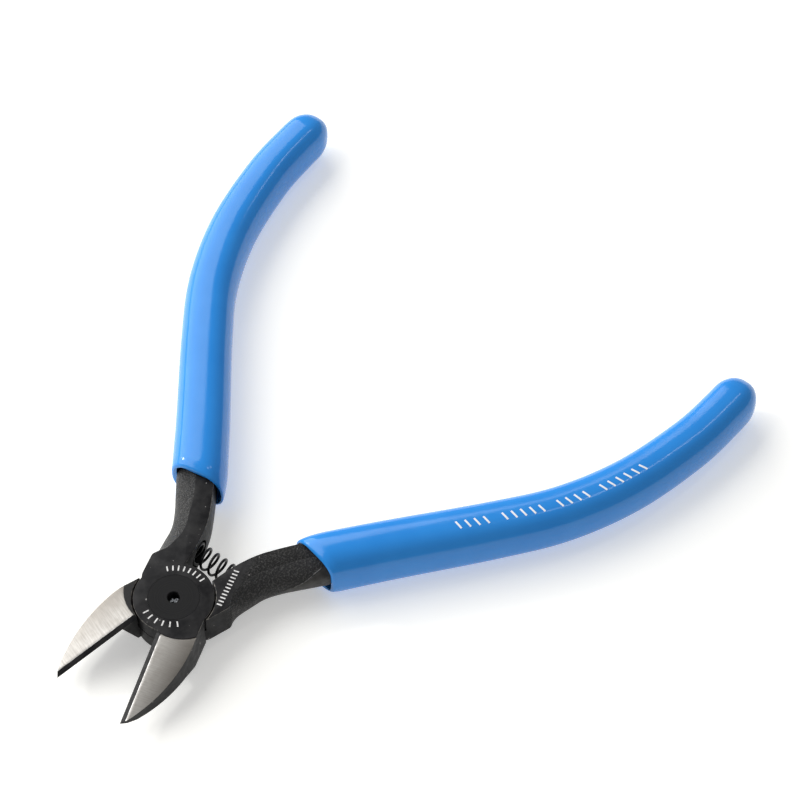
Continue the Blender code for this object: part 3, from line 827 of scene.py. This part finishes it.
def sleeve_strokes():
    """Groups of slanted strokes along the top of a sleeve, in the closed position."""
    frames = path_frames()
    runs = [run for point, _, _, run in frames if SLEEVE_MARKS_X[1] <= point.x <= SLEEVE_MARKS_X[0]]
    places = sum(SLEEVE_MARK_GROUPS) + len(SLEEVE_MARK_GROUPS) - 1
    runs = even_steps(runs[0], runs[-1], places)
    half = SLEEVE_MARK_HEIGHT / 2
    strokes = []
    place = 0
    for group in SLEEVE_MARK_GROUPS:
        for run in runs[place:place + group]:
            strokes.append([sleeve_top(frames, run - v * SLEEVE_MARK_SLANT, SLEEVE_MARKS_SIDE + v)
                            for v in even_steps(-half, half, SLEEVE_MARK_POINTS)])
        place += group + 1
    return strokes


def outer_slope_point(x, z):
    """A point on the outer side of a tang, in the closed position."""
    slope = 1.0 - (1.0 - min(z, HEAD - z) / MID_Z) ** SLOPE_POWER
    side = tang_outer_side(slope)
    for a, b in zip(side, side[1:]):
        if b.x <= x:
            return Vector((x, -(a.y + (b.y - a.y) * (a.x - x) / (a.x - b.x)), z))


def make_forging_line(name, side, mat):
    """The raised line left on the forged slope where the halves of the die met."""
    line = catmull_rom(FORGING_LINE, FORGING_LINE_STEPS)
    rise, sink = FORGING_LINE_FADE
    mean, swing = FORGING_LINE_WAVER
    fast, slow = FORGING_LINE_RATES
    rings = []
    for k, spot in enumerate(line):
        centre = outer_slope_point(spot.x, spot.y)
        fade = min(1.0, k / rise, (len(line) - 1 - k) / sink)
        waver = mean + swing * math.sin(fast * k) * math.sin(slow * k)
        radius = FORGING_LINE_RADIUS * max(FORGING_LINE_THINNEST, fade * waver)
        ring = []
        for j in range(FORGING_LINE_SIDES):
            turn = math.tau * j / FORGING_LINE_SIDES
            ring.append(tuple(centre + Vector((0.0, math.cos(turn), math.sin(turn))) * radius))
        rings.append(ring)
    ridge = mesh_object(name, mirrored(loft(rings), side))
    ridge.data.materials.append(mat)
    return finish_piece(ridge, side * OPEN_HALF_DEG, WIRE_SMOOTH_DEG)


# ---------------------------------------------------------------- materials

class Paint:
    """A Principled material, with short calls for the nodes that vary it over the surface."""

    def __init__(self, name, color, roughness, metallic=0.0, **sockets):
        self.mat = bpy.data.materials.new(name)
        self.mat.use_nodes = True
        self.tree = self.mat.node_tree
        self.shader = self.tree.nodes["Principled BSDF"]
        self.set("Base Color", (*color, 1.0))
        self.set("Roughness", roughness)
        self.set("Metallic", metallic)
        for socket, value in sockets.items():
            self.set(socket.replace("_", " "), value)
        self.place = self.node("TexCoord").outputs["Object"]

    def set(self, socket, value):
        """Give one of the shader's sockets a constant."""
        self.shader.inputs[socket].default_value = value

    def drive(self, socket, output):
        """Let a node's output set one of the shader's sockets."""
        self.tree.links.new(output, self.shader.inputs[socket])

    def node(self, kind, settings=None, **inputs):
        """A new node; each input is a number, a vector or another node's output."""
        node = self.tree.nodes.new("ShaderNode" + kind)
        for key, value in (settings or {}).items():
            setattr(node, key, value)
        for key, value in inputs.items():
            socket = node.inputs[key.replace("_", " ")]
            if isinstance(value, bpy.types.NodeSocket):
                self.tree.links.new(value, socket)
            else:
                socket.default_value = value
        return node

    def stretched(self, x, y, z):
        """The place on the object, with each axis scaled."""
        return self.node("Mapping", Vector=self.place, Scale=(x, y, z)).outputs["Vector"]

    def noise(self, size, detail=3.0, place=None, roughness=0.55):
        """Noise whose features are about this size in millimetres."""
        return self.node("TexNoise", Vector=place or self.place, Scale=1.0 / (size * MM), Detail=detail,
                         Roughness=roughness).outputs["Fac"]

    def along(self, x, y, z):
        """How far the place lies along a direction."""
        node = self.node("VectorMath", {"operation": "DOT_PRODUCT"})
        self.tree.links.new(self.place, node.inputs[0])
        node.inputs[1].default_value = (x, y, z)
        return node.outputs["Value"]

    def times(self, a, b):
        """The product of two nodes' outputs."""
        node = self.node("Math", {"operation": "MULTIPLY"})
        self.tree.links.new(a, node.inputs[0])
        self.tree.links.new(b, node.inputs[1])
        return node.outputs["Value"]

    def spread(self, value, low, high, to_low=0.0, to_high=1.0):
        """Map a value's range to another, without going past its ends."""
        node = self.node("MapRange", Value=value)
        for key, number in (("From Min", low), ("From Max", high), ("To Min", to_low), ("To Max", to_high)):
            node.inputs[key].default_value = number
        return node.outputs["Result"]

    def roughen(self, texture, low, high):
        """Let a texture vary the roughness between two values."""
        self.drive("Roughness", self.spread(texture, *NOISE_RANGE, low, high))

    def blend(self, factor, a, b):
        """Mix two colours, each a colour or another node's output."""
        node = self.node("Mix", {"data_type": "RGBA"})
        for socket, value in ((node.inputs[0], factor), (node.inputs[6], a), (node.inputs[7], b)):
            if isinstance(value, bpy.types.NodeSocket):
                self.tree.links.new(value, socket)
            else:
                socket.default_value = (*value, 1.0)
        return node.outputs[2]

    def bump(self, height, distance, strength=1.0, under=None):
        """Surface relief of this many millimetres; under is another relief that it lies on."""
        node = self.node("Bump", Height=height, Distance=distance * MM, Strength=strength)
        if under:
            self.tree.links.new(under, node.inputs["Normal"])
        return node.outputs["Normal"]


def oxide_smooth():
    """Even black finish, which turns granular on the lower tang beyond its marks."""
    paint = Paint("oxide_smooth", (0.018, 0.018, 0.019), 0.42, Specular_IOR_Level=0.12)
    tone = paint.blend(paint.spread(paint.noise(3.5, 6.0), 0.38, 0.62), (0.008, 0.008, 0.009),
                       (0.024, 0.0235, 0.024))
    row = (Vector(TANG_MARKS_TO) - Vector(TANG_MARKS_FROM)).normalized()
    aside = Vector((row.y, -row.x))
    grain_start = aside.dot(Vector(TANG_MARKS_FROM)) + TANG_GRAIN_GAP
    granular = paint.spread(paint.along(*aside, 0.0), grain_start * MM, (grain_start + TANG_GRAIN_FADE) * MM)
    grain = paint.noise(0.36, 3.0, roughness=0.6)
    # grain tone of the granular skin; its pale specks are partly painted highlights on the grains
    grains = paint.blend(paint.spread(grain, 0.48, 0.66), (0.008, 0.008, 0.008), (0.044, 0.043, 0.042))
    tone = paint.blend(granular, tone, grains)
    nicks = paint.spread(paint.noise(0.9, 1.0), 0.76, 0.8)
    paint.drive("Base Color", paint.blend(nicks, tone, (0.3, 0.29, 0.28)))
    paint.roughen(paint.noise(1.2, 5.0), 0.34, 0.5)
    fine = paint.bump(paint.noise(0.3, 3.0), 0.006, 0.6)
    paint.drive("Normal", paint.bump(paint.times(grain, granular), 0.25, 0.8, fine))
    return paint.mat


def oxide_forged():
    """Granular forged skin, with a smoother and paler face under the forging line of the lower tang."""
    paint = Paint("oxide_forged", (0.03, 0.03, 0.03), 0.45, Specular_IOR_Level=0.4)
    grain = paint.noise(0.36, 3.0, roughness=0.6)
    # grain tone; its pale specks are partly painted highlights on the grains
    grains = paint.blend(paint.spread(grain, 0.5, 0.64), (0.006, 0.006, 0.006), (0.058, 0.056, 0.054))
    turn = math.radians(OPEN_HALF_DEG)
    (x_start, z_start), (x_end, z_end) = FORGING_LINE[0], FORGING_LINE[-1]
    rise = (z_end - z_start) / (x_start - x_end)
    over = paint.along(rise * math.cos(turn), -rise * math.sin(turn), 1.0)
    line = (z_start + rise * x_start) * MM
    above = paint.spread(over, line - FORGING_LINE_RADIUS * MM, line + FORGING_LINE_RADIUS * MM)
    smooth = paint.blend(paint.spread(paint.noise(1.5, 4.0), 0.35, 0.65), (0.02, 0.019, 0.018),
                         (0.045, 0.043, 0.04))
    paint.drive("Base Color", paint.blend(above, smooth, grains))
    paint.roughen(paint.noise(0.8, 3.0), 0.38, 0.55)
    waves = paint.bump(paint.noise(2.5), 0.25, 0.6)
    paint.drive("Normal", paint.bump(paint.times(grain, above), 0.4, 1.0, waves))
    return paint.mat


def ground_steel(side):
    """The ground face of one jaw: grinding lines across it, and a painted reflection that is pale by the
    cutting edge and fades to painted shade away from it.
    """
    paint = Paint("ground_steel", (0.33, 0.315, 0.295), 0.36, 1.0)
    turned = paint.node("Mapping", Vector=paint.place,
                        Rotation=(0.0, 0.0, math.radians(-side * OPEN_HALF_DEG)))
    across = paint.node("SeparateXYZ", Vector=turned.outputs["Vector"]).outputs["Y"]
    # painted shade: the ground face is painted darker the further it lies from the strip, in place of a
    # fading reflection
    painted_shade_outward = paint.spread(across, side * STRIP_WIDTH * MM, side * JAW_ROOT[1] * MM)
    streaks = paint.node("Mapping", Vector=turned.outputs["Vector"], Scale=(1.0, 0.05, 1.0))
    lines = paint.noise(0.25, 5.0, streaks.outputs["Vector"], 0.65)
    cloud = paint.noise(2.2, 3.0)
    # painted reflection by the strip, painted shade at the outer side
    tone = paint.blend(painted_shade_outward, (0.47, 0.455, 0.43), (0.2, 0.185, 0.165))
    tone = paint.blend(paint.spread(cloud, 0.35, 0.65, 0.0, 0.35), tone, (0.25, 0.23, 0.205))
    tone = paint.blend(paint.spread(lines, 0.38, 0.62, 0.0, 0.35), tone, (0.2, 0.185, 0.17))
    paint.drive("Base Color", tone)
    paint.roughen(lines, 0.3, 0.48)
    paint.drive("Normal", paint.bump(lines, 0.007, 0.8))
    return paint.mat


def painted_edge_glint():
    """Lighter, partly metallic patches along the rounded top edges: a painted glint on the edges."""
    paint = Paint("painted_edge_glint", (0.06, 0.058, 0.055), 0.36, 0.4)
    wear_and_glint = paint.spread(paint.noise(1.1, 4.0), 0.42, 0.62)
    # painted glint in patches, dark oxide between them
    paint.drive("Base Color", paint.blend(wear_and_glint, (0.03, 0.03, 0.03), (0.2, 0.185, 0.165)))
    paint.roughen(paint.noise(0.4), 0.28, 0.46)
    paint.drive("Normal", paint.bump(paint.noise(0.25), 0.01, 0.6))
    return paint.mat


def hole_cone():
    """Turned bottom of the rivet's hole: bright steel as a painted glint in patches, painted shade between
    them.
    """
    paint = Paint("hole_cone", (0.6, 0.62, 0.65), 0.28, 1.0)
    painted_glint_patch = paint.spread(paint.noise(0.7), 0.5, 0.56)
    # painted glint where the patch mask is high, painted shade elsewhere
    paint.drive("Base Color", paint.blend(painted_glint_patch, (0.02, 0.02, 0.021), (0.6, 0.63, 0.67)))
    paint.roughen(paint.noise(0.3), 0.2, 0.4)
    paint.drive("Normal", paint.bump(paint.noise(0.2), 0.02, 0.7))
    return paint.mat


def strip_black():
    """The black strip beside the cutting edge, with fine lines along it."""
    paint = Paint("strip_black", (0.008, 0.008, 0.008), 0.35, Specular_IOR_Level=0.25)
    lines = paint.noise(0.2, 3.0, paint.stretched(0.08, 1.0, 1.0))
    pale = paint.spread(lines, 0.4, 0.7)
    paint.drive("Base Color", paint.blend(pale, (0.006, 0.006, 0.006), (0.013, 0.0125, 0.0125)))
    paint.roughen(lines, 0.28, 0.42)
    paint.drive("Normal", paint.bump(lines, 0.004, 0.5))
    return paint.mat


def bright_edge():
    """The bright line between the strip and the ground face: a narrow facet in paler metal, which is partly
    a painted highlight.
    """
    paint = Paint("bright_edge", (0.7, 0.69, 0.67), 0.3, 1.0)
    wear_and_glint = paint.spread(paint.noise(1.5, 3.0), 0.4, 0.6)
    # the painted highlight varies in patches along the line
    paint.drive("Base Color", paint.blend(wear_and_glint, (0.35, 0.34, 0.33), (0.75, 0.73, 0.71)))
    paint.roughen(paint.noise(0.5), 0.25, 0.4)
    return paint.mat


def turned_rivet():
    """Black oxide over fine turning rings."""
    paint = Paint("turned_rivet", (0.015, 0.015, 0.016), 0.4, Specular_IOR_Level=0.14)
    offset = paint.node("VectorMath", {"operation": "MULTIPLY"})
    paint.tree.links.new(paint.place, offset.inputs[0])
    offset.inputs[1].default_value = (1.0, 1.0, 0.0)
    radius = paint.node("VectorMath", {"operation": "LENGTH"})
    paint.tree.links.new(offset.outputs["Vector"], radius.inputs[0])
    rings = paint.node("TexNoise", {"noise_dimensions": "1D"}, W=radius.outputs["Value"],
                       Scale=1.0 / (0.25 * MM), Detail=2.0).outputs["Fac"]
    pale = paint.spread(rings, 0.35, 0.65)
    paint.drive("Base Color", paint.blend(pale, (0.005, 0.005, 0.0055), (0.009, 0.009, 0.0095)))
    paint.roughen(rings, 0.3, 0.48)
    paint.drive("Normal", paint.bump(rings, 0.012, 0.8))
    return paint.mat


def spring_black():
    """Blackened spring wire."""
    paint = Paint("spring_black", (0.008, 0.008, 0.009), 0.3, Specular_IOR_Level=0.2)
    pale = paint.spread(paint.noise(0.7), 0.4, 0.7)
    paint.drive("Base Color", paint.blend(pale, (0.005, 0.005, 0.006), (0.011, 0.011, 0.012)))
    paint.roughen(paint.noise(0.5), 0.2, 0.38)
    paint.drive("Normal", paint.bump(paint.noise(0.25), 0.006, 0.5))
    return paint.mat


def blue_vinyl():
    """Glossy dipped vinyl with a slight ripple."""
    paint = Paint("blue_vinyl", (0.022, 0.255, 0.73), 0.14, Specular_IOR_Level=0.42)
    cloud = paint.spread(paint.noise(9.0, 2.0), *NOISE_RANGE)
    paint.drive("Base Color", paint.blend(cloud, (0.02, 0.245, 0.715), (0.025, 0.265, 0.745)))
    paint.roughen(paint.noise(2.0, 4.0), 0.1, 0.18)
    paint.drive("Normal", paint.bump(paint.noise(6.0, 2.0), 0.05, 0.35))
    return paint.mat


def mark_ink():
    """White print on the steel, slightly rubbed."""
    paint = Paint("mark_ink", (0.8, 0.79, 0.78), 0.5)
    wear_and_glint = paint.spread(paint.noise(0.5, 4.0), 0.35, 0.6)
    paint.drive("Base Color", paint.blend(wear_and_glint, (0.5, 0.49, 0.48), (0.85, 0.84, 0.83)))
    paint.roughen(paint.noise(0.3), 0.4, 0.6)
    paint.drive("Normal", paint.bump(paint.noise(0.15), 0.005, 0.5))
    return paint.mat


def grip_ink():
    """White print on the vinyl."""
    paint = Paint("grip_ink", (0.85, 0.87, 0.9), 0.3)
    wear_and_glint = paint.spread(paint.noise(0.6, 4.0), 0.3, 0.45)
    paint.drive("Base Color", paint.blend(wear_and_glint, (0.7, 0.78, 0.88), (0.9, 0.91, 0.93)))
    paint.roughen(paint.noise(0.5), 0.2, 0.4)
    paint.drive("Normal", paint.bump(paint.noise(0.3), 0.004, 0.4))
    return paint.mat


def forging_ridge():
    """Thin ridge of steel with its oxide partly rubbed off."""
    paint = Paint("forging_ridge", (0.1, 0.098, 0.095), 0.4, 0.3)
    wear_and_glint = paint.spread(paint.noise(0.6, 3.0), 0.4, 0.65)
    paint.drive("Base Color", paint.blend(wear_and_glint, (0.03, 0.03, 0.03), (0.2, 0.195, 0.19)))
    paint.roughen(paint.noise(0.4), 0.3, 0.5)
    paint.drive("Normal", paint.bump(paint.noise(0.2), 0.03, 0.8))
    return paint.mat


# ---------------------------------------------------------------- scene

def look_from(azimuth, elevation):
    """The direction from the aim to a camera or light; azimuth 0 looks along +Y."""
    a, e = math.radians(azimuth), math.radians(elevation)
    return Vector((math.sin(a) * math.cos(e), -math.cos(a) * math.cos(e), math.sin(e)))


def add_camera():
    """The camera of the main view."""
    data = bpy.data.cameras.new("camera")
    data.lens = CAMERA_LENS
    camera = bpy.data.objects.new("camera", data)
    bpy.context.scene.collection.objects.link(camera)
    back = look_from(CAMERA_AZIMUTH, CAMERA_ELEVATION)
    camera.location = (Vector(CAMERA_AIM) + back * CAMERA_DISTANCE) * MM
    camera.rotation_euler = (-back).to_track_quat("-Z", "Y").to_euler()
    bpy.context.scene.camera = camera


def add_softbox(name, azimuth, elevation, distance, size, power):
    """A rectangular light that faces the camera's aim."""
    data = bpy.data.lights.new(name, "AREA")
    data.shape = "RECTANGLE"
    data.size, data.size_y = size
    data.energy = power
    light = bpy.data.objects.new(name, data)
    bpy.context.scene.collection.objects.link(light)
    back = look_from(azimuth, elevation)
    light.location = Vector(CAMERA_AIM) * MM + back * distance
    light.rotation_euler = (-back).to_track_quat("-Z", "Y").to_euler()


def add_floor():
    """The pale table, at the height of the lowest piece."""
    bm = bmesh.new()
    bmesh.ops.create_grid(bm, x_segments=1, y_segments=1, size=FLOOR_HALF)
    floor = mesh_object("floor", bm)
    floor.location.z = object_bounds()[0].z
    paint = Paint("floor_white", (0.9, 0.89, 0.845), 0.6)
    cloud = paint.spread(paint.noise(40.0), *NOISE_RANGE)
    paint.drive("Base Color", paint.blend(cloud, (0.895, 0.885, 0.84), (0.905, 0.895, 0.85)))
    paint.set("Emission Color", (1.0, 1.0, 1.0, 1.0))
    paint.set("Emission Strength", FLOOR_GLOW)
    floor.data.materials.append(paint.mat)


def add_world():
    """Even white light from all round."""
    world = bpy.data.worlds.new("studio")
    world.use_nodes = True
    background = world.node_tree.nodes["Background"]
    background.inputs["Color"].default_value = (1.0, 1.0, 1.0, 1.0)
    background.inputs["Strength"].default_value = WORLD_LIGHT
    bpy.context.scene.world = world
    bpy.context.scene.view_settings.view_transform = "Standard"


def main():
    """Make every piece, tell the frame what each one rides on and replaces, and light the scene."""
    before_ground = [oxide_smooth(), oxide_forged()]
    after_ground = [strip_black(), bright_edge(), painted_edge_glint()]
    upper = make_lever("upper_lever_forging", 1, before_ground + [ground_steel(1)] + after_ground)
    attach(upper, "upper_half")
    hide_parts("upper_lever")
    lower = make_lever("lower_lever_forging", -1, before_ground + [ground_steel(-1)] + after_ground)
    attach(lower, "lower_half")
    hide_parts("lower_lever")

    rivet = make_rivet(turned_rivet(), hole_cone())
    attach(rivet, "lower_half")
    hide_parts("pivot_rivet")

    vinyl = blue_vinyl()
    for half, side in (("upper", 1), ("lower", -1)):
        sleeve = make_sleeve(half + "_grip_dipped", side, vinyl)
        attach(sleeve, half + "_half")
        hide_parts(half + "_grip_sleeve")

    spring = make_spring(spring_black())
    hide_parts("return_spring")
    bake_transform(spring)

    ink = mark_ink()
    disc_marks = make_marks("disc_marks", disc_strokes(), MARK_STROKE, ink)
    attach(disc_marks, "upper_half")
    tang_marks = make_marks("tang_marks", tang_strokes(), MARK_STROKE, ink)
    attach(tang_marks, "lower_half")
    grip_marks = make_marks("grip_marks", sleeve_strokes(), SLEEVE_MARK_STROKE, grip_ink(), -OPEN_HALF_DEG)
    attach(grip_marks, "lower_half")
    ridge = make_forging_line("forging_line", -1, forging_ridge())
    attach(ridge, "lower_half")

    add_floor()
    add_camera()
    add_world()
    for softbox in SOFTBOXES:
        add_softbox(*softbox)


main()
